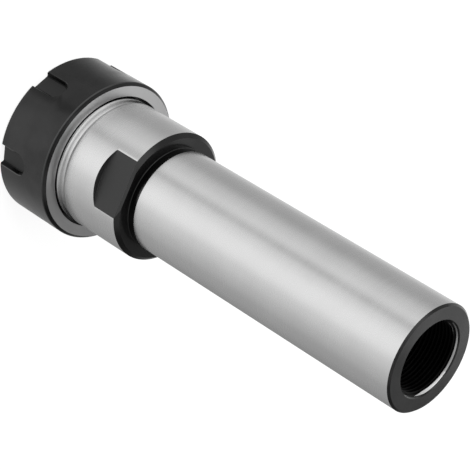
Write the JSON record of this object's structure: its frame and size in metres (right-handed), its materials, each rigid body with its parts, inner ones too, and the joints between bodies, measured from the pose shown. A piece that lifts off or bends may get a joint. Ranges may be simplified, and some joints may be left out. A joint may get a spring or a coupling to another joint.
{
  "type": "collet chuck holder",
  "caption": "Straight-shank collet chuck: a turned holder with a tapered socket, a spring collet and a slotted clamping nut that grip a tool shank.",
  "frame": {"origin": "on the common axis, at the front face of the clamping nut, on which the chuck stands", "axes": "+Z along the common axis from the nut to the end of the shank; the spanner flats face +Y and -Y"},
  "size_m": [0.063, 0.063, 0.183],
  "materials": {
    "holder_steel": "ground on the shank and neck, black oxide on the rear face, flats, end face and bore",
    "nut_black_oxide": "satin black oxide with a ground rear face",
    "collet_steel": "fine ground"
  },
  "bodies": {
    "holder": {"holder_body": "holder_steel"},
    "collet": {"collet": "collet_steel"},
    "nut": {"clamping_nut": "nut_black_oxide"}
  },
  "joints": [
    {"name": "collet_slide", "type": "slide", "parent": "holder", "child": "collet", "axis": [0, 0, -1], "range_m": [0, 0.009]},
    {"name": "nut_turn", "type": "hinge", "parent": "collet", "child": "nut", "pos_m": [0, 0, 0], "axis": [0, 0, -1], "range_deg": [0, 2160]}
  ],
  "couplings": [
    {"joint": "collet_slide", "follows": "nut_turn", "m_per_rad": 0.00023873}
  ]
}
